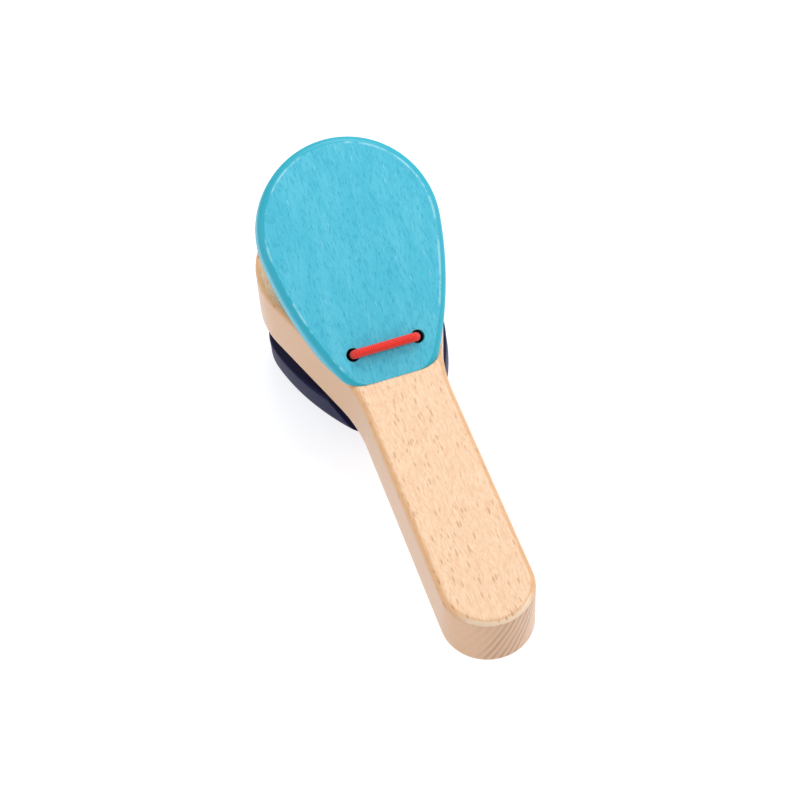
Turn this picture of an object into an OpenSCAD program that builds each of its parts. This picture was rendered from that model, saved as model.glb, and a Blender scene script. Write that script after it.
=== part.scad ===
// Handled castanets: a beech paddle with a beech clapper on each face, tied on by one loop of elastic.
// They lie on a table on the end of the handle and on the lower clapper, with the upper clapper open.

/* [Paddle] */
// Width of the handle
handle_w = 28; // [22:0.5:34]
// Thickness of the paddle
paddle_t = 21; // [16:0.5:26]
// Distance from the end of the handle to the centre of the head
head_y = 142; // [120:1:172]
// Radius of the head
head_r = 29.6; // [27:0.1:36]
// Angle between the handle and each side of the head
taper = 19; // [14:1:24]
// Radius of the curve where the handle widens into the head
neck_r = 55; // [35:1:75]
// Rounding of the paddle's edges
paddle_round = 2; // [1:0.25:4]

/* [Clappers] */
// Radius of the round end of a clapper
clapper_r = 28.4; // [25:0.1:32]
// Distance from the heel to the centre of the round end
clapper_y = 47.3; // [42:0.1:57]
// Angle below its centre at which the round end turns into the sides
side_turn = 6.5; // [4:0.5:10]
// Width of the outline at the heel, before its corners are rounded
heel_w = 27.5; // [24:0.5:33]
// Radius of the heel's corners
heel_corner = 12; // [9:0.5:13]
// Thickness of a clapper
clapper_t = 8.4; // [7:0.1:11]
// Angle of the bevel on the heel, and so the angle that a clapper opens to
bevel = 35; // [28:1:42]
// Rounding of the outer face's edge
clapper_round = 2.5; // [1.5:0.25:3]
// Rounding of the inner face's edge
inner_round = 0.8; // [0.4:0.1:1.2]
// Opening of the lower clapper under the weight of the castanets
lower_open = 15.5; // [8:0.5:25]
// Sideways slip of the upper clapper on its elastic
upper_slip = -1.2; // [-1.5:0.1:1.5]

/* [Elastic] */
// Diameter of the elastic
cord_d = 2.7; // [2:0.1:3.4]
// Distance between the two holes
hole_spacing = 20.7; // [17:0.1:23]
// Distance from the heel to the holes
hole_inset = 10; // [8:0.5:11]
// Room for the elastic in a clapper's hole, on the diameter
clapper_hole_play = 1.4; // [1:0.1:2]
// Room for the elastic in the paddle's hole, on the diameter
paddle_hole_play = 2.5; // [2.5:0.1:4]
// Diameter of the knot
knot_d = 4.8; // [4.4:0.1:5.4]
// Length of the knot along the elastic
knot_l = 5; // [4:0.5:7]
// Length of each loose end beyond the knot
tail_l = 6; // [4:0.5:9]

/* [Hidden] */
$fn = 96;

// Small clearances
seat_gap = 0.1;      // between a clapper's ridge and the paddle
cord_lift = 0.1;     // between the elastic and a clapper's outer face
hole_side = 0.2;     // between the elastic and the side of a clapper's hole that it is drawn to
bend_core = 0.25;    // inner radius of the elastic's bends
leg_gap = 0.3;       // from the end of an elastic leg to the paddle's face
heel_trim = 0.3;     // how far the bevel cuts past the rounded edge of the heel
eps = 0.01;

// Segments of the curves
arc_steps = 20;      // along the round end of a board
small_steps = 8;     // along its shorter arcs
round_steps = 5;     // across a rounded edge

// Paddle: the fillet at the neck touches the handle's side and the line of the head's side
neck_x = -handle_w / 2 - neck_r;
side_l = (neck_x + (head_r + neck_r) * cos(taper)) / sin(taper);
neck_y = head_y - side_l * cos(taper) - (head_r + neck_r) * sin(taper);

// Clapper: each side is an arc that leaves the round end tangentially and reaches the heel's width
turn_u = [-cos(side_turn), -sin(side_turn)];
turn_p = [0, clapper_y] + clapper_r * turn_u;
turn_d = turn_p - [-heel_w / 2, 0];
side_r = turn_d * turn_d / (2 * turn_u * turn_d);
side_c = turn_p - side_r * turn_u;
corner_y = heel_corner - clapper_round - heel_trim;
corner_x = side_c[0] - sqrt(pow(side_r - heel_corner, 2) - pow(corner_y - side_c[1], 2));
corner_turn = atan2(side_c[1] - corner_y, side_c[0] - corner_x);

// Hinge: a clapper rocks on the ridge between its inner face and its bevel
ridge_inset = clapper_t / tan(bevel);
ridge_y = head_y - clapper_y + ridge_inset;
ridge_z = paddle_t / 2 + seat_gap;

// Elastic
clapper_hole_d = cord_d + clapper_hole_play;
paddle_hole_d = cord_d + paddle_hole_play;
leg_x = hole_spacing / 2 - clapper_hole_play / 2 + hole_side;
bend_r = cord_d / 2 + bend_core;
bar_z = clapper_t + cord_lift + cord_d / 2;
hole_y = ridge_y - (ridge_inset - hole_inset) / cos(bevel);
knot_z = clapper_t + cord_lift + knot_d / 2;
tail_turn = 25;      // angle of each loose end to the bar

// Lying on a table: one plane touches the rounded end of the handle and the lower clapper's edge
tip = [
    clapper_y + clapper_r - clapper_round - ridge_inset,
    clapper_t - clapper_round
];
end_c = [paddle_round, paddle_round - paddle_t / 2];
tip_c = [
    ridge_y + tip[0] * cos(lower_open) - tip[1] * sin(lower_open),
    -ridge_z - tip[0] * sin(lower_open) - tip[1] * cos(lower_open)
];
lie = -atan2(tip_c[1] - end_c[1], tip_c[0] - end_c[0])
    - asin((paddle_round - clapper_round) / norm(tip_c - end_c));
table_z = end_c[0] * sin(lie) + end_c[1] * cos(lie) - paddle_round;
back_y = paddle_round * cos(lie) + end_c[1] * sin(lie) - paddle_round;
front_c = [head_y + head_r - paddle_round, end_c[1]];
front_y = front_c[0] * cos(lie) - front_c[1] * sin(lie) + paddle_round;

// Points along an arc, from its first or its second one on
function arc(centre, r, from, to, steps, start = 0) = [
    for (i = [start:steps])
        let (a = from + (to - from) * i / steps)
        centre + r * [cos(a), sin(a)]
];

// Left half of the paddle's outline, from the end of the handle to the top of the head
function paddle_side(inset) = concat(
    arc([0, handle_w / 2], handle_w / 2 - inset, -90, -180, small_steps),
    arc([neck_x, neck_y], neck_r + inset, 0, taper, small_steps),
    arc([0, head_y], head_r - inset, 180 + taper, 90, arc_steps)
);

// Left half of a clapper's outline, from the middle of the heel to the top of the round end
function clapper_side(inset) = concat(
    [[0, corner_y - heel_corner + inset]],
    arc([corner_x, corner_y], heel_corner - inset, -90, corner_turn - 180, small_steps),
    arc(side_c, side_r - inset, 180 + corner_turn, 180 + side_turn, small_steps, 1),
    arc([0, clapper_y], clapper_r - inset, 180 + side_turn, 90, arc_steps, 1)
);

// How far in and how high each ring of a board lies, up the rounded lower edge and the rounded upper edge
function round_levels(t, top, bottom) = concat(
    [for (i = [0:round_steps]) let (a = 90 * i / round_steps) bottom * [1 - sin(a), 1 - cos(a)]],
    [for (i = [0:round_steps]) let (a = 90 * i / round_steps) [top * (1 - cos(a)), t - top * (1 - sin(a))]]
);

// A board: each level is one ring of points, up the left side and down the right side
module board(sides, levels) {
    n = len(sides[0]);
    ring = 2 * n - 2;
    last = len(levels) - 1;
    points = [
        for (k = [0:last]) each concat(
            [for (p = sides[k]) [p[0], p[1], levels[k][1]]],
            [for (i = [n - 2:-1:1]) [-sides[k][i][0], sides[k][i][1], levels[k][1]]]
        )
    ];
    walls = [
        for (k = [0:last - 1], i = [0:ring - 1])
            let (j = (i + 1) % ring, low = k * ring, high = (k + 1) * ring)
            [low + i, low + j, high + j, high + i]
    ];
    // The flat faces are strips between each point of the left side and its mirror point; the first strip
    // takes in the middle point too, which lies in line with its neighbours where the end is straight
    under = concat(
        [[2, 1, 0, ring - 1, ring - 2]],
        [for (i = [2:n - 3]) [i, ring - i, ring - i - 1, i + 1]],
        [[n - 2, n, n - 1]]
    );
    over = [for (strip = under) [for (i = [len(strip) - 1:-1:0]) last * ring + strip[i]]];
    polyhedron(points, concat(walls, under, over));
}

module mirrored() {
    children();
    mirror([1, 0, 0]) children();
}

// Puts the castanets, drawn about the paddle's middle plane, down on the table
module lying() {
    translate([0, -(back_y + front_y) / 2, -table_z]) rotate([lie, 0, 0]) children();
}

// Puts a clapper on the paddle's upper face, rocked about its ridge until it is open by an angle
module on_upper(open) {
    translate([upper_slip, ridge_y, ridge_z])
        rotate([open, 0, 0])
        translate([0, -ridge_inset, 0])
        children();
}

// The same on the lower face, without the slip
module on_lower(open) {
    mirror([0, 0, 1])
        translate([0, ridge_y, ridge_z])
        rotate([open, 0, 0])
        translate([0, -ridge_inset, 0])
        children();
}

// What the bevel takes off a clapper's heel
module bevel_cut() {
    reach = 3 * clapper_t;
    translate([0, ridge_inset, 0])
        rotate([-bevel, 0, 0])
        translate([-2 * clapper_r, -reach, -reach])
        cube([4 * clapper_r, 2 * reach, reach]);
}

// A clapper lying on its inner face, with its heel at the front
module clapper() {
    levels = round_levels(clapper_t, clapper_round, inner_round);
    difference() {
        board([for (level = levels) clapper_side(level[0])], levels);
        bevel_cut();
        mirrored() translate([hole_spacing / 2, hole_inset, -eps])
            cylinder(d = clapper_hole_d, h = clapper_t + 2 * eps);
    }
}

// The elastic in a clapper: a bar across the outer face, two bends and two legs down to the bevel
module loop() {
    difference() {
        union() {
            translate([bend_r - leg_x, hole_inset, bar_z])
                rotate([0, 90, 0])
                cylinder(d = cord_d, h = 2 * (leg_x - bend_r));
            mirrored() {
                translate([leg_x - bend_r, hole_inset, bar_z - bend_r])
                    rotate([90, 0, 0])
                    rotate_extrude(angle = 90)
                    translate([bend_r, 0])
                    circle(d = cord_d);
                translate([leg_x, hole_inset, 0]) cylinder(d = cord_d, h = bar_z - bend_r);
            }
        }
        bevel_cut();
    }
}

// The knot in the middle of the lower bar, and its two loose ends in one line
module knot() {
    translate([0, hole_inset, knot_z]) {
        rotate([0, 90, 0]) cylinder(d = knot_d, h = knot_l, center = true);
        rotate([0, 90, -tail_turn]) cylinder(d = cord_d, h = knot_l + 2 * tail_l, center = true);
    }
}

module paddle() {
    levels = round_levels(paddle_t, paddle_round, paddle_round);
    color("burlywood") lying() difference() {
        translate([0, 0, -paddle_t / 2]) board([for (level = levels) paddle_side(level[0])], levels);
        mirrored() translate([hole_spacing / 2, hole_y, 0])
            cylinder(d = paddle_hole_d, h = paddle_t + 2 * eps, center = true);
    }
}

module upper_clapper() {
    color("mediumturquoise") lying() on_upper(bevel) clapper();
}

module lower_clapper() {
    color("midnightblue") lying() on_lower(lower_open) clapper();
}

module elastic_upper_loop() {
    color("red") lying() on_upper(bevel) loop();
}

module elastic_legs() {
    color("red") lying() translate([upper_slip / 2, hole_y, 0])
        for (side = [-1, 1]) translate([side * leg_x, 0, 0])
            cylinder(d = cord_d, h = paddle_t - 2 * leg_gap, center = true);
}

module elastic_lower_loop() {
    color("red") lying() on_lower(lower_open) {
        loop();
        knot();
    }
}

paddle();
upper_clapper();
lower_clapper();
elastic_upper_loop();
elastic_legs();
elastic_lower_loop();
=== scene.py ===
import math

import bmesh
import bpy
import numpy as np
from mathutils import Matrix, Vector
from mathutils.geometry import delaunay_2d_cdt


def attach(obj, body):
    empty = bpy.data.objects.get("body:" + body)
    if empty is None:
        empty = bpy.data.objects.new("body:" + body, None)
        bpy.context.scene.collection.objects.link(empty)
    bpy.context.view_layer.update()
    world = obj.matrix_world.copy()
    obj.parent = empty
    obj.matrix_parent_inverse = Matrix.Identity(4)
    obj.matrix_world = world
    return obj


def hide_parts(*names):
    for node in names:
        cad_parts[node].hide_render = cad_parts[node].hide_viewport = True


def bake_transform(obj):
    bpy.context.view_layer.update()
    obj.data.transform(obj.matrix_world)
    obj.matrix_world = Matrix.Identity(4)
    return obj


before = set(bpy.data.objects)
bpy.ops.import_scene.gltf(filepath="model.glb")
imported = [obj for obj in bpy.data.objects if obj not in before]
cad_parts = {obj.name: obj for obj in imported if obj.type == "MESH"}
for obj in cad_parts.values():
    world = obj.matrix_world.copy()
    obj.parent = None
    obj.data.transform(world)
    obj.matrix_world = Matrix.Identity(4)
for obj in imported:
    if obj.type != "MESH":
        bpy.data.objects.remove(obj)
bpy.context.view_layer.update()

# Sizes are in millimetres and angles in degrees, about the paddle's middle plane: +Y runs from the end of
# the handle to the head. layDown() puts them in the frame of the CAD, in metres.
paddle = {
    "handleWidth": 28, "thickness": 21, "headY": 142, "headRadius": 29.6, "taper": 19, "neckRadius": 55,
    "edgeRound": 2, "holeSpacing": 20.7, "holeDiameter": 5.2, "holeChamfer": 0.35,
}
clapper = {
    "roundRadius": 28.4, "roundY": 47.3, "sideTurn": 6.5, "heelWidth": 27.5, "heelCorner": 12,
    "thickness": 8.4, "bevel": 35, "outerRound": 2.5, "innerRound": 0.8, "heelTrim": 0.3, "seatGap": 0.1,
    "lowerOpen": 15.5, "upperSlip": -1.2, "holeInset": 10, "holeDiameter": 4.1, "holeChamfer": 0.25,
    "bevelHoleRadius": 1.95,
}
meshSteps = {"side": 150, "edge": 10, "hole": 64}


def sine(degrees):
    return math.sin(math.radians(degrees))


def cosine(degrees):
    return math.cos(math.radians(degrees))


def tilt(points, degrees):  # turns points about X
    x, y, z = np.asarray(points, float).T
    c, s = cosine(degrees), sine(degrees)
    return np.stack([x, y * c - z * s, y * s + z * c], 1)


ridgeInset = clapper["thickness"] / math.tan(math.radians(clapper["bevel"]))
ridgeY = paddle["headY"] - clapper["roundY"] + ridgeInset
ridgeZ = paddle["thickness"] / 2 + clapper["seatGap"]
holeY = ridgeY - (ridgeInset - clapper["holeInset"]) / cosine(clapper["bevel"])

# The castanets lie on the rounded end of the handle and on the lower clapper's edge: one plane touches both
tipY = clapper["roundY"] + clapper["roundRadius"] - clapper["outerRound"] - ridgeInset
tipZ = clapper["thickness"] - clapper["outerRound"]
endCentre = np.array([paddle["edgeRound"], paddle["edgeRound"] - paddle["thickness"] / 2])
tipCentre = np.array([
    ridgeY + tipY * cosine(clapper["lowerOpen"]) - tipZ * sine(clapper["lowerOpen"]),
    -ridgeZ - tipY * sine(clapper["lowerOpen"]) - tipZ * cosine(clapper["lowerOpen"]),
])
chord = tipCentre - endCentre
lie = -math.degrees(
    math.atan2(chord[1], chord[0])
    + math.asin((paddle["edgeRound"] - clapper["outerRound"]) / np.linalg.norm(chord))
)
tableZ = endCentre[0] * sine(lie) + endCentre[1] * cosine(lie) - paddle["edgeRound"]
backY = paddle["edgeRound"] * cosine(lie) + endCentre[1] * sine(lie) - paddle["edgeRound"]
frontY = (
    (paddle["headY"] + paddle["headRadius"] - paddle["edgeRound"]) * cosine(lie)
    - endCentre[1] * sine(lie) + paddle["edgeRound"]
)


def layDown(points):  # from the paddle's frame in mm to the frame of the CAD in metres
    return (tilt(points, lie) - [0, (backY + frontY) / 2, tableZ]) / 1000


def onUpper(points):  # from a clapper's own frame to the paddle's: rocked open by the bevel's angle
    return tilt(np.asarray(points, float) - [0, ridgeInset, 0], clapper["bevel"]) + [
        clapper["upperSlip"], ridgeY, ridgeZ]


def onLower(points):  # the same on the lower face
    return (tilt(np.asarray(points, float) - [0, ridgeInset, 0], clapper["lowerOpen"]) + [
        0, ridgeY, ridgeZ]) * [1, 1, -1]


def gridFaces(rows, columns, closed):  # quads between neighbouring rows and columns of a grid of points
    row = np.arange(rows - 1)[:, None] * columns
    column = np.arange(columns if closed else columns - 1)[None, :]
    following = (column + 1) % columns
    return np.stack([row + column, row + following, row + columns + following,
                     row + columns + column], -1).reshape(-1, 4)


def resample(line, count):  # points at equal steps along a line
    steps = np.linalg.norm(np.diff(line, axis=0), axis=1)
    along = np.concatenate([[0], np.cumsum(steps)])
    wanted = np.linspace(0, along[-1], count)
    return np.stack([np.interp(wanted, along, values) for values in line.T], 1)


def arcPoints(centre, radius, start, end, count=240):  # centre + radius * (cos, sin) of an angle
    angle = np.radians(np.linspace(start, end, count))
    return np.array(centre) + radius * np.stack([np.cos(angle), np.sin(angle)], 1)


def insideLoop(points, loop):  # even-odd rule: how many sides of the loop lie to the right of a point
    x, y = points[:, 0, None], points[:, 1, None]
    x0, y0 = loop.T
    x1, y1 = np.roll(loop, -1, 0).T
    crosses = (y0 > y) != (y1 > y)
    across = x0 + (y - y0) * (x1 - x0) / np.where(y1 == y0, 1, y1 - y0)
    return (np.sum(crosses & (x < across), 1) % 2) == 1


def flatFace(outline, holes):  # triangles that fill a flat outline round its holes
    loops = [outline, *holes]
    corners = np.concatenate(loops)
    ends = np.cumsum([0] + [len(loop) for loop in loops])
    edges = np.concatenate([
        np.stack([np.arange(a, b), np.roll(np.arange(a, b), -1)], 1) for a, b in zip(ends, ends[1:])])
    found = delaunay_2d_cdt([Vector(c) for c in corners], edges.tolist(), [], 1, 1e-6)
    points, triangles = np.array(found[0]), np.array(found[2])
    middles = points[triangles].mean(1)
    keep = insideLoop(middles, outline)
    for hole in holes:
        keep &= ~insideLoop(middles, hole)
    return points, triangles[keep]


def makePiece(name, parts, place, uvRings=None):
    # parts are (points, faces, smooth); place turns all the points into the frame of the CAD
    points, faces, smooth, start = [], [], [], 0
    for partPoints, partFaces, partSmooth in parts:
        points.append(np.asarray(partPoints, float))
        faces += (np.asarray(partFaces) + start).tolist()
        smooth += [partSmooth] * len(partFaces)
        start += len(partPoints)
    mesh = bpy.data.meshes.new(name)
    mesh.from_pydata(place(np.concatenate(points)).tolist(), [], faces)
    mesh.polygons.foreach_set("use_smooth", smooth)
    if uvRings is not None:
        mesh.uv_layers.new(name="UVMap").data.foreach_set("uv", uvRings.ravel())
    work = bmesh.new()
    work.from_mesh(mesh)
    bmesh.ops.remove_doubles(work, verts=work.verts, dist=1e-6)
    bmesh.ops.dissolve_degenerate(work, edges=work.edges, dist=1e-8)
    bmesh.ops.recalc_face_normals(work, faces=work.faces)
    openEdges = sum(not edge.is_manifold for edge in work.edges)
    work.to_mesh(mesh)
    work.free()
    piece = bpy.data.objects.new(name, mesh)
    bpy.context.scene.collection.objects.link(piece)
    print(f"{name}: {len(mesh.polygons)} faces, {openEdges} open edges")
    return piece


def roundLevels(thickness, top, bottom):
    # (inset, height) of each ring of a board: a quarter circle, the straight wall, a quarter circle
    angle = np.linspace(0, np.pi / 2, meshSteps["edge"] + 1)
    low = bottom * np.stack([1 - np.sin(angle), 1 - np.cos(angle)], 1)
    high = np.stack([top * (1 - np.cos(angle)), thickness - top * (1 - np.sin(angle))], 1)
    return np.concatenate([low, high])


def circlePoints(x, y, radius):
    return arcPoints([x, y], radius, 0, 360, meshSteps["hole"] + 1)[:-1]


def atHeight(points, height):
    return np.column_stack([points, np.broadcast_to(height, len(points))])


def paddleSide(inset):
    # left half of the outline: the handle's half circle, a hollow arc at the neck and the round head
    width, neck, head = paddle["handleWidth"] / 2, paddle["neckRadius"], paddle["headRadius"]
    neckX = -width - neck
    side = (neckX + (head + neck) * cosine(paddle["taper"])) / sine(paddle["taper"])
    neckY = paddle["headY"] - side * cosine(paddle["taper"]) - (head + neck) * sine(paddle["taper"])
    return np.concatenate([
        arcPoints([0, width], width - inset, -90, -180),
        arcPoints([neckX, neckY], neck + inset, 0, paddle["taper"]),
        arcPoints([0, paddle["headY"]], head - inset, 180 + paddle["taper"], 90),
    ])


def buildPaddle():
    # each level is a closed ring, up the left side and down the right; flat faces close both ends
    levels = roundLevels(paddle["thickness"], paddle["edgeRound"], paddle["edgeRound"])
    levels[:, 1] -= paddle["thickness"] / 2
    rings = []
    for inset, height in levels:
        left = resample(paddleSide(inset), meshSteps["side"])
        rings.append(atHeight(np.concatenate([left, left[-2:0:-1] * [-1, 1]]), height))
    skin = np.array(rings)
    parts = [(skin.reshape(-1, 3), gridFaces(len(levels), skin.shape[1], True), True)]
    half, chamfer = paddle["thickness"] / 2, paddle["holeChamfer"]
    radius = paddle["holeDiameter"] / 2
    centres = [side * paddle["holeSpacing"] / 2 for side in (-1, 1)]
    rims = [circlePoints(x, holeY, radius + chamfer) for x in centres]
    for ring in (skin[0], skin[-1]):
        flat, triangles = flatFace(ring[:, :2], rims)
        parts.append((atHeight(flat, ring[0, 2]), triangles, False))
    for x in centres:
        wall = [atHeight(circlePoints(x, holeY, radius + extra), height) for extra, height in (
            (chamfer, -half), (0.3 * chamfer, -half + 0.3 * chamfer), (0, -half + chamfer),
            (0, half - chamfer), (0.3 * chamfer, half - 0.3 * chamfer), (chamfer, half))]
        parts.append((np.concatenate(wall), gridFaces(len(wall), meshSteps["hole"], True), True))
    return makePiece("paddle_board", parts, layDown)


def clapperSide(inset):
    # left half of the outline: heel corner, long side arc and round end, each touching the next
    turn = np.array([-cosine(clapper["sideTurn"]), -sine(clapper["sideTurn"])])
    touch = np.array([0, clapper["roundY"]]) + clapper["roundRadius"] * turn
    reach = touch - np.array([-clapper["heelWidth"] / 2, 0])
    sideRadius = reach @ reach / (2 * turn @ reach)
    sideCentre = touch - sideRadius * turn
    cornerY = clapper["heelCorner"] - clapper["outerRound"] - clapper["heelTrim"]
    rise = cornerY - sideCentre[1]
    cornerX = sideCentre[0] - math.sqrt((sideRadius - clapper["heelCorner"]) ** 2 - rise ** 2)
    cornerTurn = math.degrees(math.atan2(-rise, sideCentre[0] - cornerX))
    return np.concatenate([
        arcPoints([cornerX, cornerY], clapper["heelCorner"] - inset, -90, cornerTurn - 180),
        arcPoints(sideCentre, sideRadius - inset, 180 + cornerTurn, 180 + clapper["sideTurn"], 600),
        arcPoints([0, clapper["roundY"]], clapper["roundRadius"] - inset, 180 + clapper["sideTurn"], 90, 600),
    ])


def buildClapper(name, place):
    # each level is an open ring that starts and ends on the bevel, which slopes from the ridge to the heel
    slope = math.tan(math.radians(clapper["bevel"]))
    thickness, chamfer = clapper["thickness"], clapper["holeChamfer"]
    levels = roundLevels(thickness, clapper["outerRound"], clapper["innerRound"])
    rings = []
    for inset, height in levels:
        line = clapperSide(inset)
        start = ridgeInset - height / slope  # how far along the clapper the bevel is at this height
        startX = np.interp(start, line[:, 1], line[:, 0])
        left = resample(np.vstack([[startX, start], line[line[:, 1] > start + 1e-6]]), meshSteps["side"])
        rings.append(atHeight(np.concatenate([left, left[-2::-1] * [-1, 1]]), height))
    skin = np.array(rings)
    parts = [(skin.reshape(-1, 3), gridFaces(len(levels), skin.shape[1], False), True)]
    radius, holeX = clapper["holeDiameter"] / 2, paddle["holeSpacing"] / 2
    rims = [circlePoints(x, clapper["holeInset"], radius + chamfer) for x in (-holeX, holeX)]
    flat, triangles = flatFace(skin[-1][:, :2], rims)
    parts.append((atHeight(flat, thickness), triangles, False))
    flat, triangles = flatFace(skin[0][:, :2], [])
    parts.append((atHeight(flat, 0), triangles, False))
    # the bevel is filled as seen from above, and then each point takes the bevel's height there
    edge = np.concatenate([skin[:, 0, :2], skin[::-1, -1, :2]])
    mouths = [circlePoints(x, clapper["holeInset"], clapper["bevelHoleRadius"]) for x in (-holeX, holeX)]
    flat, triangles = flatFace(edge, mouths)
    parts.append((atHeight(flat, (ridgeInset - flat[:, 1]) * slope), triangles, False))
    for rim, mouth in zip(rims, mouths):
        centre = mouth.mean(0)
        wall = [atHeight(mouth, (ridgeInset - mouth[:, 1]) * slope)]
        for extra, height in ((0, thickness - chamfer), (0.3 * chamfer, thickness - 0.3 * chamfer)):
            wall.append(atHeight(circlePoints(*centre, radius + extra), height))
        wall.append(atHeight(rim, thickness))
        parts.append((np.concatenate(wall), gridFaces(len(wall), meshSteps["hole"], True), True))
    return makePiece(name, parts, lambda points: layDown(place(points)))


elastic = {
    "diameter": 2.7, "legX": 9.85, "bendRadius": 1.6, "lift": 0.1, "softening": 0.9,
    "legTop": 8, "legInClapper": 3.2, "hiddenDome": 0.05, "endDome": 0.9, "blendFrom": 7.5, "blendTo": 13.0,
    "step": 0.18, "around": 56, "strands": 16, "strandLength": 0.62, "strandHeight": 0.04,
}


def softened(line, width):  # a line at equal steps, each point the average of its neighbours within width
    length = np.linalg.norm(np.diff(line, axis=0), axis=1).sum()
    points = resample(line, int(length / elastic["step"]) + 1)
    reach = max(1, int(width / elastic["step"]))
    weights = np.hanning(2 * reach + 3)[1:-1]
    before, after = 2 * points[0] - points[reach:0:-1], 2 * points[-1] - points[-2:-reach - 2:-1]
    padded = np.vstack([before, points, after])
    return np.stack([np.convolve(values, weights / weights.sum(), "valid") for values in padded.T], 1)


def sweep(path, radius, domes):
    # a round section carried along the path: its two side directions turn with the path and never twist;
    # a braid of two crossing sets of strands stands out by strandHeight * cos * cos
    tangent = np.gradient(path, axis=0)
    tangent /= np.linalg.norm(tangent, axis=1)[:, None]
    side = np.cross(tangent[0], [0.31, 0.87, 0.4])
    sides = []
    for direction in tangent:
        side = side - direction * (side @ direction)
        side /= np.linalg.norm(side)
        sides.append(side)
    sides = np.array(sides)
    other = np.cross(tangent, sides)
    along = np.arange(len(path)) * np.linalg.norm(path[1] - path[0])
    angle = np.linspace(0, 2 * np.pi, elastic["around"], endpoint=False)
    across, down = angle * elastic["strands"] / 2, along * np.pi / elastic["strandLength"]
    braid = np.cos(across[None, :] + down[:, None]) * np.cos(across[None, :] - down[:, None])
    fade = np.ones(len(path))  # the ends close in a dome
    for dome, distance in ((domes[0], along), (domes[1], along[-1] - along)):
        share = np.clip(1 - distance / dome, 0, 1)
        fade = np.minimum(fade, np.sqrt(np.clip(1 - share ** 2, 0, 1)))
    reach = (radius + elastic["strandHeight"] * braid) * fade[:, None]
    grid = path[:, None] + reach[..., None] * (
        np.cos(angle)[None, :, None] * sides[:, None] + np.sin(angle)[None, :, None] * other[:, None])
    rows, columns = grid.shape[:2]
    r, c = np.meshgrid(np.arange(rows - 1), np.arange(columns), indexing="ij")
    corners = [(c, r), (c + 1, r), (c + 1, r + 1), (c, r + 1)]
    uv = np.stack([np.stack([a / columns, along[b]], -1) for a, b in corners], 2).reshape(-1, 2)
    return grid.reshape(-1, 3), gridFaces(rows, columns, True), uv


def loopSide(side, place, paddleX, inner):
    # one leg: up through the paddle and the clapper, over the hole's rim and in along the outer face
    legX, bend = side * elastic["legX"], elastic["bendRadius"]
    barZ = clapper["thickness"] + elastic["lift"] + elastic["diameter"] / 2
    turn = arcPoints([legX - side * bend, barZ - bend], bend, 0, 90, 8)
    if side < 0:
        turn[:, 0] = 2 * (legX + bend) - turn[:, 0]
    over = np.column_stack([turn[:, 0], np.full(len(turn), clapper["holeInset"]), turn[:, 1]])
    up = place(np.vstack([[[legX, clapper["holeInset"], elastic["legInClapper"]]], over, inner]))
    facing = np.sign(up[0, 2])
    legs = [[paddleX + legX, holeY, facing * z] for z in (0, elastic["legTop"])]
    return np.vstack([legs, up])


def buildUpperElastic():
    barZ = clapper["thickness"] + elastic["lift"] + elastic["diameter"] / 2
    middle = [[0, clapper["holeInset"], barZ]]
    left = loopSide(-1, onUpper, clapper["upperSlip"] / 2, middle)
    right = loopSide(1, onUpper, clapper["upperSlip"] / 2, middle)
    path = softened(np.vstack([left, right[-2::-1]]), elastic["softening"])
    print(f"elastic_over: {len(path) * elastic['step']:.1f} mm of cord")
    points, faces, uv = sweep(path, elastic["diameter"] / 2, (elastic["hiddenDome"], elastic["hiddenDome"]))
    return makePiece("elastic_over", [(points, faces, True)], layDown, uv)


# Half of a flat square knot: the cord's way from the bar, round the other cord's bight and out as a loose
# end, as (along the bar, along the clapper, above the outer face). The other half is this one turned by
# half a turn about the knot's middle.
knotHalf = np.array([
    [-6.6, 0.1, 1.45], [-4.6, 0.9, 1.4], [-2.5, 1.45, 1.35], [-1.3, 1.9, 2.3], [0, 2.55, 3.65],
    [1.4, 2.95, 3.9], [2.9, 2.3, 3.95], [3.5, 0, 3.95], [2.9, -2.3, 3.8], [1.4, -2.95, 2.7],
    [0, -2.7, 1.5], [-1.3, -2.05, 1.35], [-2.8, -1.75, 1.35], [-4.4, -2.5, 1.4], [-6.2, -3.6, 1.45],
    [-8.1, -4.7, 1.5],
])


def buildLowerElastic():
    # the two cords meet in the knot on the lower clapper's outer face
    parts, uvs = [], []
    for side in (-1, 1):
        knot = knotHalf * [-side, -side, 1] + [0, clapper["holeInset"], clapper["thickness"]]
        path = softened(loopSide(side, onLower, clapper["upperSlip"] / 2, knot), elastic["softening"])
        print(f"elastic_under, one side: {len(path) * elastic['step']:.1f} mm of cord")
        points, faces, uv = sweep(path, elastic["diameter"] / 2, (elastic["hiddenDome"], elastic["endDome"]))
        parts.append((points, faces, True))
        uvs.append(uv)
    return makePiece("elastic_under", parts, layDown, np.concatenate(uvs))


def colour(code):  # sRGB hex to linear RGBA
    parts = [int(code[i:i + 2], 16) / 255 for i in (1, 3, 5)]
    return [c / 12.92 if c <= 0.04045 else ((c + 0.055) / 1.055) ** 2.4 for c in parts] + [1]


def addNode(material, kind, inputs=(), **settings):
    node = material.node_tree.nodes.new(kind)
    for name, value in settings.items():
        setattr(node, name, value)
    for socket, value in dict(inputs).items():
        if isinstance(value, bpy.types.NodeSocket):
            material.node_tree.links.new(value, node.inputs[socket])
        else:
            node.inputs[socket].default_value = value
    return node


def newMaterial(name):
    material = bpy.data.materials.new(name)
    material.use_nodes = True
    return material, material.node_tree.nodes["Principled BSDF"]


def setShader(material, shader, colourFrom, roughnessFrom, bumpFrom, **sockets):
    for name, value in sockets.items():
        shader.inputs[name].default_value = value
    links = material.node_tree.links
    links.new(colourFrom, shader.inputs["Base Color"])
    links.new(roughnessFrom, shader.inputs["Roughness"])
    links.new(bumpFrom, shader.inputs["Normal"])


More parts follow.
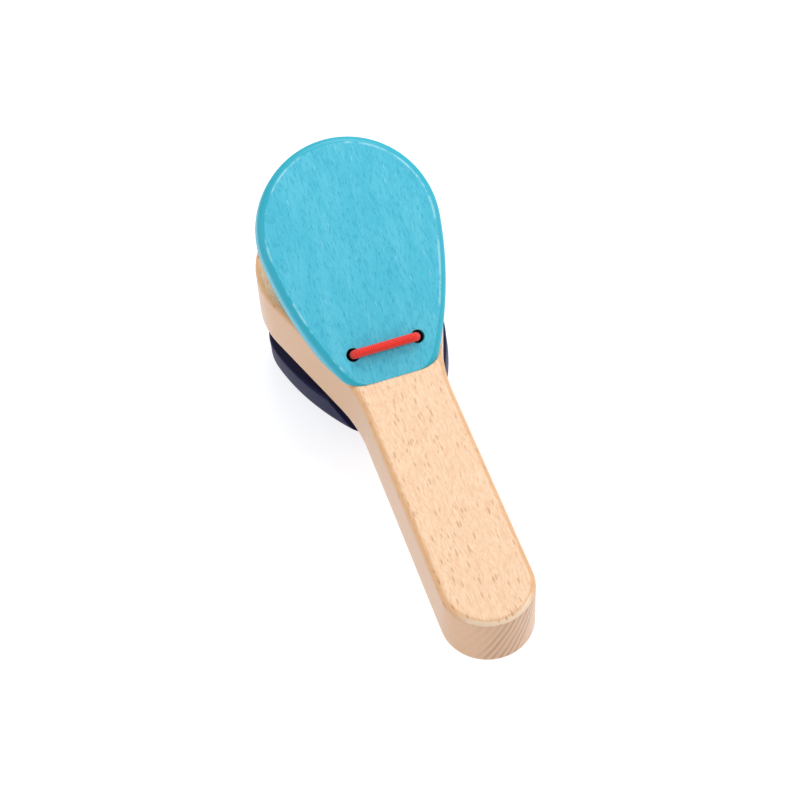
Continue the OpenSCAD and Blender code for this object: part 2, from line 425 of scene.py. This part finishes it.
beech = {
    "pale": "#F1CDA6", "warm": "#E3B587", "mottle": "#D8A173", "fleck": "#B06B34",
    # the wall colour is painted shade for the side walls, and the end's rounded-edge colour after it a
    # painted highlight
    "ringLight": "#DAAF89", "ringDark": "#A97F60", "wall": "#CE9F74", "edge": "#E9AE75", "endHighlight": "#FFE8CC",
    "ringWidth": 2.1, "ringAcross": -0.894, "ringUp": 0.447, "ringShare": (0.06, 0.75),
    "plainSide": (-7.0, -1.0),
    "grainDrift": 3.2, "fibreWidth": 0.3, "fibreStretch": 0.09,
    "mottleScale": 1.5, "mottleStretch": 0.27, "mottleShare": 0.6,
    "fleckCell": (1.0, 4.6, 1.0), "fleckSize": (0.1, 0.42), "fleckShare": (0.58, 0.15),
    "edgeShare": 0.6, "endHighlightShare": 0.75, "wallShadeShare": 0.75, "roughness": (0.44, 0.62),
}


def beechMaterial():
    # Steamed beech, sanded and satin lacquered: a pale warm face with short dark ray flecks along the
    # grain, fine fibre lines, and growth rings that show as slanting stripes on the end grain.
    material, shader = newMaterial("beech satin lacquer")
    place = addNode(material, "ShaderNodeTexCoord")
    # millimetres, with Y along the handle
    wood = addNode(material, "ShaderNodeMapping", {
        "Vector": place.outputs["Object"], "Rotation": (math.radians(-lie), 0, 0), "Scale": (1000,) * 3})
    drift = addNode(material, "ShaderNodeTexNoise", {
        "Vector": wood.outputs[0], "Scale": 0.045, "Detail": 2, "Roughness": 0.5})
    # the grain wanders sideways, by up to about a millimetre either way
    shift = addNode(material, "ShaderNodeVectorMath", {
        0: drift.outputs["Color"], 1: (beech["grainDrift"], 0, beech["grainDrift"])}, operation="MULTIPLY")
    grain = addNode(material, "ShaderNodeVectorMath", {
        0: wood.outputs[0], 1: shift.outputs[0]}, operation="ADD")

    # growth rings: distance across slanting planes, one ring each ringWidth
    across = addNode(material, "ShaderNodeVectorMath", {
        0: grain.outputs[0],
        1: (beech["ringAcross"] / beech["ringWidth"], 0.006, beech["ringUp"] / beech["ringWidth"])},
        operation="DOT_PRODUCT")
    ring = addNode(material, "ShaderNodeMath", {0: across.outputs["Value"], 1: 0.5}, operation="PINGPONG")
    ringLine = addNode(material, "ShaderNodeMapRange", {
        "Value": ring.outputs[0], "From Min": 0.12, "From Max": 0.46}, interpolation_type="SMOOTHSTEP")
    # some years' rings are strong and some hardly show
    years = addNode(material, "ShaderNodeTexNoise", {
        "W": across.outputs["Value"], "Scale": 0.35, "Detail": 1}, noise_dimensions="1D")
    strong = addNode(material, "ShaderNodeMapRange", {
        "Value": years.outputs["Fac"], "From Min": 0.38, "From Max": 0.6, "To Min": 0.25},
        interpolation_type="SMOOTHSTEP")
    # and they fade to plain wood on one side
    sideways = addNode(material, "ShaderNodeSeparateXYZ", {0: grain.outputs[0]})
    fading = addNode(material, "ShaderNodeMapRange", {
        "Value": sideways.outputs[0], "From Min": beech["plainSide"][0], "From Max": beech["plainSide"][1],
        "To Min": 0.15},
        interpolation_type="SMOOTHSTEP")
    ringShown = addNode(material, "ShaderNodeMath", {0: strong.outputs[0], 1: fading.outputs[0]},
                        operation="MULTIPLY")
    ringTone = addNode(material, "ShaderNodeMath", {0: ringLine.outputs[0], 1: ringShown.outputs[0]},
                       operation="MULTIPLY")

    # fibres: noise drawn out along the grain
    stretched = addNode(material, "ShaderNodeVectorMath", {
        0: grain.outputs[0], 1: (1, beech["fibreStretch"], 1)}, operation="MULTIPLY")
    fibre = addNode(material, "ShaderNodeTexNoise", {
        "Vector": stretched.outputs[0], "Scale": 0.5 / beech["fibreWidth"], "Detail": 4, "Roughness": 0.6})
    fibreTone = addNode(material, "ShaderNodeMapRange", {
        "Value": fibre.outputs["Fac"], "From Min": 0.3, "From Max": 0.7})

    # mottling: shorter fibres about 0.7 by 2.5 mm
    shortened = addNode(material, "ShaderNodeVectorMath", {
        0: grain.outputs[0], 1: (1, beech["mottleStretch"], 1)}, operation="MULTIPLY")
    short = addNode(material, "ShaderNodeTexNoise", {
        "Vector": shortened.outputs[0], "Scale": beech["mottleScale"], "Detail": 4, "Roughness": 0.7})
    mottle = addNode(material, "ShaderNodeMapRange", {
        "Value": short.outputs["Fac"], "From Min": 0.44, "From Max": 0.62,
        "To Max": beech["mottleShare"]},
        interpolation_type="SMOOTHSTEP")

    # flecks: a lens round the middle of each cell of a stretched grid, of a size drawn for the cell
    cells = addNode(material, "ShaderNodeVectorMath", {
        0: grain.outputs[0], 1: tuple(1 / size for size in beech["fleckCell"])}, operation="MULTIPLY")
    lens = addNode(material, "ShaderNodeTexVoronoi", {
        "Vector": cells.outputs[0], "Scale": 1.0, "Randomness": 0.9}, feature="F1")
    chance = addNode(material, "ShaderNodeSeparateColor", {0: lens.outputs["Color"]})
    size = addNode(material, "ShaderNodeMapRange", {
        "Value": chance.outputs[0], "To Min": beech["fleckSize"][0], "To Max": beech["fleckSize"][1]})
    lack = addNode(material, "ShaderNodeMath", {0: size.outputs[0], 1: lens.outputs["Distance"]},
                   operation="SUBTRACT")
    fleck = addNode(material, "ShaderNodeMapRange", {
        "Value": lack.outputs[0], "From Min": 0.0, "From Max": 0.2}, interpolation_type="SMOOTHSTEP")

    # which way the surface faces in the wood: end grain, side wall, or the rounded edge between
    facingEnd = addNode(material, "ShaderNodeVectorMath", {
        0: place.outputs["Normal"], 1: (0, cosine(lie), sine(lie))}, operation="DOT_PRODUCT")
    facingTop = addNode(material, "ShaderNodeVectorMath", {
        0: place.outputs["Normal"], 1: (0, -sine(lie), cosine(lie))}, operation="DOT_PRODUCT")
    topAway = addNode(material, "ShaderNodeMath", {0: facingTop.outputs["Value"]}, operation="ABSOLUTE")
    # the share of end grain: how far the level part of the normal points along the handle
    endSquare = addNode(material, "ShaderNodeMath", {
        0: facingEnd.outputs["Value"], 1: facingEnd.outputs["Value"]}, operation="MULTIPLY")
    topSquare = addNode(material, "ShaderNodeMath", {
        0: facingTop.outputs["Value"], 1: facingTop.outputs["Value"]}, operation="MULTIPLY")
    level = addNode(material, "ShaderNodeMath", {0: 1.001, 1: topSquare.outputs[0]}, operation="SUBTRACT")
    endPart = addNode(material, "ShaderNodeMath", {0: endSquare.outputs[0], 1: level.outputs[0]},
                      operation="DIVIDE")
    endGrain = addNode(material, "ShaderNodeMapRange", {
        "Value": endPart.outputs[0], "From Min": 0.1, "From Max": 0.7}, interpolation_type="SMOOTHSTEP")
    wall = addNode(material, "ShaderNodeMapRange", {
        "Value": topAway.outputs[0], "From Min": 0.55, "From Max": 0.1}, interpolation_type="SMOOTHSTEP")
    rounded = addNode(material, "ShaderNodeMapRange", {
        "Value": topAway.outputs[0], "From Min": 0.99, "From Max": 0.8}, interpolation_type="SMOOTHSTEP")
    notWall = addNode(material, "ShaderNodeMath", {0: 1.0, 1: wall.outputs[0]}, operation="SUBTRACT")
    onEdge = addNode(material, "ShaderNodeMath", {0: rounded.outputs[0], 1: notWall.outputs[0]},
                     operation="MULTIPLY")

    fibred = addNode(material, "ShaderNodeMix", {
        0: fibreTone.outputs[0], 6: colour(beech["warm"]), 7: colour(beech["pale"])}, data_type="RGBA")
    body = addNode(material, "ShaderNodeMix", {
        0: mottle.outputs[0], 6: fibred.outputs[2], 7: colour(beech["mottle"])}, data_type="RGBA")
    edgeShare = addNode(material, "ShaderNodeMapRange", {
        "Value": endGrain.outputs[0], "To Min": beech["edgeShare"], "To Max": 0.0})
    edged = addNode(material, "ShaderNodeMath", {0: onEdge.outputs[0], 1: edgeShare.outputs[0]},
                    operation="MULTIPLY")
    withEdge = addNode(material, "ShaderNodeMix", {
        0: edged.outputs[0], 6: body.outputs[2], 7: colour(beech["edge"])}, data_type="RGBA")
    # painted highlight: the end grain's rounded edge is painted paler, as if lit by the lamp at the side
    onEnd = addNode(material, "ShaderNodeMath", {0: onEdge.outputs[0], 1: endGrain.outputs[0]},
                    operation="MULTIPLY")
    endHighlightShare = addNode(material, "ShaderNodeMath", {0: onEnd.outputs[0], 1: beech["endHighlightShare"]},
                       operation="MULTIPLY")
    withEndHighlight = addNode(material, "ShaderNodeMix", {
        0: endHighlightShare.outputs[0], 6: withEdge.outputs[2], 7: colour(beech["endHighlight"])}, data_type="RGBA")
    # painted shade: the side walls take the darker, pinker wall colour, as if they stand in shade beside the
    # lit top
    wallShade = addNode(material, "ShaderNodeMath", {0: wall.outputs[0], 1: beech["wallShadeShare"]},
                     operation="MULTIPLY")
    withWallShade = addNode(material, "ShaderNodeMix", {
        0: wallShade.outputs[0], 6: withEndHighlight.outputs[2], 7: colour(beech["wall"])}, data_type="RGBA")
    rings = addNode(material, "ShaderNodeMix", {
        0: ringTone.outputs[0], 6: colour(beech["ringLight"]), 7: colour(beech["ringDark"])},
        data_type="RGBA")
    endOnWall = addNode(material, "ShaderNodeMath", {0: endGrain.outputs[0], 1: wall.outputs[0]},
                        operation="MULTIPLY")
    ringShare = addNode(material, "ShaderNodeMapRange", {
        "Value": endOnWall.outputs[0], "To Min": beech["ringShare"][0], "To Max": beech["ringShare"][1]})
    withRings = addNode(material, "ShaderNodeMix", {
        0: ringShare.outputs[0], 6: withWallShade.outputs[2], 7: rings.outputs[2]}, data_type="RGBA")
    fleckShare = addNode(material, "ShaderNodeMapRange", {
        "Value": wall.outputs[0], "To Min": beech["fleckShare"][0], "To Max": beech["fleckShare"][1]})
    fleckAmount = addNode(material, "ShaderNodeMath", {0: fleck.outputs[0], 1: fleckShare.outputs[0]},
                          operation="MULTIPLY")
    final = addNode(material, "ShaderNodeMix", {
        0: fleckAmount.outputs[0], 6: withRings.outputs[2], 7: colour(beech["fleck"])}, data_type="RGBA")

    rough = addNode(material, "ShaderNodeMapRange", {
        "Value": fibre.outputs["Fac"], "To Min": beech["roughness"][0], "To Max": beech["roughness"][1]})
    relief = addNode(material, "ShaderNodeMath", {
        0: fleck.outputs[0], 1: -0.5, 2: fibreTone.outputs[0]}, operation="MULTIPLY_ADD")
    bump = addNode(material, "ShaderNodeBump", {
        "Height": relief.outputs[0], "Strength": 0.5, "Distance": 0.00005})
    setShader(material, shader, final.outputs[2], rough.outputs[0], bump.outputs[0],
              **{"IOR": 1.5, "Coat Weight": 0.45, "Coat Roughness": 0.2, "Specular IOR Level": 0.4})
    return material


# In both paints the rim colour is painted shading on the rounded edge and wall: darker on the turquoise as
# painted shade, greyer on the navy as a painted reflection of the pale floor.
turquoise = {
    "name": "turquoise stain and satin varnish", "angle": clapper["bevel"] + lie,
    "face": "#4EC1DB", "streak": "#2A9DBE", "pale": "#6CD2E8", "rim": "#22AFC6", "paleMark": "#B8F0FA",
    "roughness": (0.40, 0.54), "coat": 0.12, "specular": 0.4, "edgeHighlight": 0.5,
}
navy = {
    "name": "navy stain and satin varnish", "angle": lie - clapper["lowerOpen"],
    "face": "#0D1140", "streak": "#080A2C", "pale": "#161A50", "rim": "#14163E", "paleMark": "#3A3B64",
    "roughness": (0.42, 0.58), "coat": 0.03, "specular": 0.16, "edgeHighlight": 0.25,
}


varnish = {  # what both colours share: scales per millimetre, and how much each mark shows
    "streakScale": 2.1, "streakStretch": 0.2, "cloudScale": 0.28, "cloudShare": 0.35, "darkShare": 0.6,
    "brightShare": 0.6, "scratchWidth": 0.9, "scratchLength": 5.5, "scratchRare": 0.84, "scratchShare": 0.35,
    "rimShadingShare": 0.9, "highlightDepth": (0.14, 0.05), "highlightPatchScale": 0.1,
}


def paintMaterial(paint, ridgeAt, facing):
    # Thin coloured varnish on beech: the grain still shows as fine lighter and darker streaks with a few
    # short pale scratches; painted shading colours the rounded edge, and a painted highlight runs along its
    # inner side.
    material, shader = newMaterial(paint["name"])
    place = addNode(material, "ShaderNodeTexCoord")
    turn = math.radians(-paint["angle"])
    # millimetres in the clapper's own frame, with Y along it and Z up from its inner face
    origin = Matrix.Rotation(turn, 3, "X") @ (Vector(ridgeAt) * 1000)
    wood = addNode(material, "ShaderNodeMapping", {
        "Vector": place.outputs["Object"], "Location": tuple(-origin), "Rotation": (turn, 0, 0),
        "Scale": (1000,) * 3})
    own = addNode(material, "ShaderNodeVectorMath", {
        0: wood.outputs[0], 1: (1, 1, facing)}, operation="MULTIPLY")
    stretched = addNode(material, "ShaderNodeVectorMath", {
        0: own.outputs[0], 1: (1, varnish["streakStretch"], 1)}, operation="MULTIPLY")
    fine = addNode(material, "ShaderNodeTexNoise", {
        "Vector": stretched.outputs[0], "Scale": varnish["streakScale"], "Detail": 5, "Roughness": 0.75})
    broad = addNode(material, "ShaderNodeTexNoise", {
        "Vector": stretched.outputs[0], "Scale": varnish["cloudScale"], "Detail": 2, "Roughness": 0.5})
    dark = addNode(material, "ShaderNodeMapRange", {
        "Value": fine.outputs["Fac"], "From Min": 0.5, "From Max": 0.36}, interpolation_type="SMOOTHSTEP")
    light = addNode(material, "ShaderNodeMapRange", {
        "Value": broad.outputs["Fac"], "From Min": 0.42, "From Max": 0.66}, interpolation_type="SMOOTHSTEP")
    lightShare = addNode(material, "ShaderNodeMath", {0: light.outputs[0], 1: varnish["cloudShare"]},
                         operation="MULTIPLY")
    darkShare = addNode(material, "ShaderNodeMath", {0: dark.outputs[0], 1: varnish["darkShare"]},
                        operation="MULTIPLY")
    bright = addNode(material, "ShaderNodeMapRange", {
        "Value": fine.outputs["Fac"], "From Min": 0.56, "From Max": 0.7,
        "To Max": varnish["brightShare"]})
    first = addNode(material, "ShaderNodeMix", {
        0: lightShare.outputs[0], 6: colour(paint["face"]), 7: colour(paint["pale"])}, data_type="RGBA")
    second = addNode(material, "ShaderNodeMix", {
        0: darkShare.outputs[0], 6: first.outputs[2], 7: colour(paint["streak"])}, data_type="RGBA")

    raised = addNode(material, "ShaderNodeMix", {
        0: bright.outputs[0], 6: second.outputs[2], 7: colour(paint["pale"])}, data_type="RGBA")

    # scratches: thin cells a few millimetres long, about one in six of them marked
    thin = addNode(material, "ShaderNodeVectorMath", {
        0: own.outputs[0], 1: (
            1 / varnish["scratchWidth"], 1 / varnish["scratchLength"], 1 / varnish["scratchWidth"])},
        operation="MULTIPLY")
    cell = addNode(material, "ShaderNodeTexVoronoi", {
        "Vector": thin.outputs[0], "Scale": 1.0, "Randomness": 1.0}, feature="F1")
    chance = addNode(material, "ShaderNodeSeparateColor", {0: cell.outputs["Color"]})
    picked = addNode(material, "ShaderNodeMath", {0: chance.outputs[0], 1: varnish["scratchRare"]},
                     operation="GREATER_THAN")
    near = addNode(material, "ShaderNodeMapRange", {
        "Value": cell.outputs["Distance"], "From Min": 0.24, "From Max": 0.08},
        interpolation_type="SMOOTHSTEP")
    paleMark = addNode(material, "ShaderNodeMath", {0: near.outputs[0], 1: picked.outputs[0]},
                      operation="MULTIPLY")
    scratchShare = addNode(material, "ShaderNodeMath", {0: paleMark.outputs[0], 1: varnish["scratchShare"]},
                           operation="MULTIPLY")
    third = addNode(material, "ShaderNodeMix", {
        0: scratchShare.outputs[0], 6: raised.outputs[2], 7: colour(paint["paleMark"])}, data_type="RGBA")

    # the rounded edge: depth under the nearer flat face
    height = addNode(material, "ShaderNodeSeparateXYZ", {0: own.outputs[0]})
    under = addNode(material, "ShaderNodeMath", {0: clapper["thickness"], 1: height.outputs[2]},
                    operation="SUBTRACT")
    depth = addNode(material, "ShaderNodeMath", {0: under.outputs[0], 1: height.outputs[2]},
                    operation="MINIMUM")
    rim = addNode(material, "ShaderNodeMapRange", {
        "Value": depth.outputs[0], "From Min": 0.004, "From Max": 0.05}, interpolation_type="SMOOTHSTEP")
    # painted shading: the rounded edge and the wall take the rim colour, darker teal on the turquoise
    # (painted shade) and greyer on the navy (painted reflection of the floor)
    rimShadingShare = addNode(material, "ShaderNodeMath", {0: rim.outputs[0], 1: varnish["rimShadingShare"]},
                       operation="MULTIPLY")
    rimShaded = addNode(material, "ShaderNodeMix", {
        0: rimShadingShare.outputs[0], 6: third.outputs[2], 7: colour(paint["rim"])}, data_type="RGBA")
    # painted highlight: a pale line along the inner side of the rounded edge, here and there, where the edge
    # catches the lamp; the pale colour of the scratches paints it
    inner = addNode(material, "ShaderNodeMapRange", {
        "Value": depth.outputs[0], "From Min": varnish["highlightDepth"][0], "From Max": varnish["highlightDepth"][1]},
        interpolation_type="SMOOTHSTEP")
    onRound = addNode(material, "ShaderNodeMath", {0: depth.outputs[0], 1: 0.0015}, operation="GREATER_THAN")
    patchy = addNode(material, "ShaderNodeTexNoise", {
        "Vector": own.outputs[0], "Scale": varnish["highlightPatchScale"], "Detail": 5, "Roughness": 0.7})
    patch = addNode(material, "ShaderNodeMapRange", {
        "Value": patchy.outputs["Fac"], "From Min": 0.44, "From Max": 0.6, "To Max": paint["edgeHighlight"]},
        interpolation_type="SMOOTHSTEP")
    line = addNode(material, "ShaderNodeMath", {0: inner.outputs[0], 1: onRound.outputs[0]},
                   operation="MULTIPLY")
    edgeHighlight = addNode(material, "ShaderNodeMath", {0: line.outputs[0], 1: patch.outputs[0]},
                   operation="MULTIPLY")
    final = addNode(material, "ShaderNodeMix", {
        0: edgeHighlight.outputs[0], 6: rimShaded.outputs[2], 7: colour(paint["paleMark"])}, data_type="RGBA")

    low, high = paint["roughness"]
    rough = addNode(material, "ShaderNodeMapRange", {
        "Value": fine.outputs["Fac"], "To Min": low, "To Max": high})
    bump = addNode(material, "ShaderNodeBump", {
        "Height": fine.outputs["Fac"], "Strength": 0.8, "Distance": 0.00012})
    setShader(material, shader, final.outputs[2], rough.outputs[0], bump.outputs[0],
              **{"IOR": 1.5, "Coat Weight": paint["coat"], "Coat Roughness": 0.25,
                 "Specular IOR Level": paint["specular"]})
    return material


# the second colour is painted shade in the braid's dips, the third painted glints on single threads
redElastic = {"crest": "#FF3226", "grooveShade": "#CC2018", "threadGlint": "#FF6C5A"}


def elasticMaterial():
    # Braided polyester over rubber: bright red strands that cross at a slant, painted darker as painted shade
    # where they dip under each other, with painted paler glints on single threads and a soft sheen.
    material, shader = newMaterial("braided red elastic")
    place = addNode(material, "ShaderNodeUVMap", uv_map="UVMap")
    split = addNode(material, "ShaderNodeSeparateXYZ", {0: place.outputs[0]})
    across = addNode(material, "ShaderNodeMath", {0: split.outputs[0], 1: math.pi * elastic["strands"]},
                     operation="MULTIPLY")
    down = addNode(material, "ShaderNodeMath", {0: split.outputs[1], 1: math.pi / elastic["strandLength"]},
                   operation="MULTIPLY")
    rising = addNode(material, "ShaderNodeMath", {0: across.outputs[0], 1: down.outputs[0]}, operation="ADD")
    falling = addNode(material, "ShaderNodeMath", {0: across.outputs[0], 1: down.outputs[0]},
                      operation="SUBTRACT")
    one = addNode(material, "ShaderNodeMath", {0: rising.outputs[0]}, operation="COSINE")
    two = addNode(material, "ShaderNodeMath", {0: falling.outputs[0]}, operation="COSINE")
    both = addNode(material, "ShaderNodeMath", {0: one.outputs[0], 1: two.outputs[0]}, operation="MULTIPLY")
    crest = addNode(material, "ShaderNodeMapRange", {
        "Value": both.outputs[0], "From Min": -0.7, "From Max": 0.5}, interpolation_type="SMOOTHSTEP")
    # single threads a tenth of a millimetre thick
    threadPlace = addNode(material, "ShaderNodeMapping", {
        "Vector": place.outputs[0], "Scale": (60, 9, 1), "Rotation": (0, 0, 0.5)})
    thread = addNode(material, "ShaderNodeTexNoise", {
        "Vector": threadPlace.outputs[0], "Scale": 1.0, "Detail": 3, "Roughness": 0.6})
    # painted shade: the dips between crossing strands take the darker groove colour
    woven = addNode(material, "ShaderNodeMix", {
        0: crest.outputs[0], 6: colour(redElastic["grooveShade"]), 7: colour(redElastic["crest"])},
        data_type="RGBA")
    # painted highlight: paler specks on single threads stand in for small glints
    threadGlint = addNode(material, "ShaderNodeMapRange", {
        "Value": thread.outputs["Fac"], "From Min": 0.45, "From Max": 0.75, "To Max": 0.4})
    final = addNode(material, "ShaderNodeMix", {
        0: threadGlint.outputs[0], 6: woven.outputs[2], 7: colour(redElastic["threadGlint"])}, data_type="RGBA")
    rough = addNode(material, "ShaderNodeMapRange", {
        "Value": thread.outputs["Fac"], "To Min": 0.55, "To Max": 0.8})
    height = addNode(material, "ShaderNodeMath", {
        0: thread.outputs["Fac"], 1: 0.4, 2: crest.outputs[0]}, operation="MULTIPLY_ADD")
    bump = addNode(material, "ShaderNodeBump", {
        "Height": height.outputs[0], "Strength": 0.8, "Distance": 0.00008})
    setShader(material, shader, final.outputs[2], rough.outputs[0], bump.outputs[0],
              **{"Sheen Weight": 0.2, "Sheen Roughness": 0.5, "Specular IOR Level": 0.25})
    return material


def finishPiece(piece, material):
    piece.data.materials.clear()
    piece.data.materials.append(material)
    print(f"{piece.name}: finished in {material.name}")


paddleBoard = buildPaddle()
finishPiece(paddleBoard, beechMaterial())
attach(paddleBoard, "paddle")
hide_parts("paddle")

innerCorner = [0, 0, 0]
upperBoard = buildClapper("upper_clapper_board", onUpper)
finishPiece(upperBoard, paintMaterial(turquoise, layDown(onUpper([innerCorner]))[0], 1))
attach(upperBoard, "upper_clapper")
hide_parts("upper_clapper")

lowerBoard = buildClapper("lower_clapper_board", onLower)
finishPiece(lowerBoard, paintMaterial(navy, layDown(onLower([innerCorner]))[0], -1))
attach(lowerBoard, "lower_clapper")
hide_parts("lower_clapper")

redBraid = elasticMaterial()
elasticOver = buildUpperElastic()
finishPiece(elasticOver, redBraid)
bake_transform(elasticOver)
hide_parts("elastic_upper_loop", "elastic_legs")

elasticUnder = buildLowerElastic()
finishPiece(elasticUnder, redBraid)
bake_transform(elasticUnder)
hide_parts("elastic_lower_loop", "elastic_legs")

studio = {
    "floorHalf": 8.0, "floorColour": "#B4BAC6", "floorGlow": 0.75,
    "worldColour": "#FFFFFF", "worldStrength": 0.37,
}
lamps = {  # place, aimed-at point, size and power
    "key": {"at": (0.22, 0.24, 0.80), "to": (0, 0.0, 0.02), "size": 0.55, "power": 4.2},
    "side": {"at": (0.60, -0.26, 0.46), "to": (0, -0.02, 0.02), "size": 0.26, "power": 1.6},
    "fill": {"at": (-0.65, -0.15, 0.50), "to": (0, 0, 0.02), "size": 0.6, "power": 1.5},
}
cameraPlace = {  # fitted angles in degrees and distances in mm, about a point of the paddle's middle plane
    "azimuth": -15.796, "elevation": 53.564, "roll": -3.638, "right": -2.566, "up": 6.991,
    "distance": 691.458, "lens": 100.5254, "target": (0, 100, 0),
}


def buildStudio():
    half = studio["floorHalf"]
    corners = [[-half, -half, 0], [half, -half, 0], [half, half, 0], [-half, half, 0]]
    mesh = bpy.data.meshes.new("floor")
    mesh.from_pydata(corners, [], [[0, 1, 2, 3]])
    floor = bpy.data.objects.new("floor", mesh)
    bpy.context.scene.collection.objects.link(floor)
    material, shader = newMaterial("white studio paper")
    shader.inputs["Base Color"].default_value = colour(studio["floorColour"])
    shader.inputs["Roughness"].default_value = 0.95
    shader.inputs["Specular IOR Level"].default_value = 0.0
    shader.inputs["Emission Color"].default_value = (1, 1, 1, 1)
    shader.inputs["Emission Strength"].default_value = studio["floorGlow"]
    floor.data.materials.append(material)
    world = bpy.data.worlds.new("studio")
    world.use_nodes = True
    sky = world.node_tree.nodes["Background"]
    sky.inputs["Color"].default_value = colour(studio["worldColour"])
    sky.inputs["Strength"].default_value = studio["worldStrength"]
    bpy.context.scene.world = world
    for name, lamp in lamps.items():
        light = bpy.data.lights.new(name, "AREA")
        light.shape = "DISK"
        light.size = lamp["size"]
        light.energy = lamp["power"]
        holder = bpy.data.objects.new(name, light)
        holder.location = lamp["at"]
        away = Vector(lamp["to"]) - Vector(lamp["at"])
        holder.rotation_euler = away.to_track_quat("-Z", "Y").to_euler()
        bpy.context.scene.collection.objects.link(holder)
    print(f"studio: floor and {len(lamps)} lamps")


def buildCamera():
    place = cameraPlace
    az, el = place["azimuth"], place["elevation"]
    back = np.array([sine(az) * cosine(el), -cosine(az) * cosine(el), sine(el)])
    right = np.cross([0, 0, 1], back)
    right /= np.linalg.norm(right)
    up = np.cross(back, right)
    right, up = (cosine(place["roll"]) * right + sine(place["roll"]) * up,
                 cosine(place["roll"]) * up - sine(place["roll"]) * right)
    eye = np.array(place["target"]) - place["right"] * right - place["up"] * up + place["distance"] * back
    axes = tilt([right, up, back], lie)
    camera = bpy.data.objects.new("camera", bpy.data.cameras.new("camera"))
    camera.data.lens = place["lens"]
    camera.data.sensor_width = 36
    camera.data.clip_start, camera.data.clip_end = 0.01, 20
    matrix = Matrix([list(row) for row in axes.T]).to_4x4()
    matrix.translation = Vector(layDown([eye])[0])
    camera.matrix_world = matrix
    bpy.context.scene.collection.objects.link(camera)
    bpy.context.scene.camera = camera
    print(f"camera: {place['lens']:.0f} mm lens")


buildStudio()
buildCamera()
bpy.context.scene.view_settings.view_transform = "Standard"
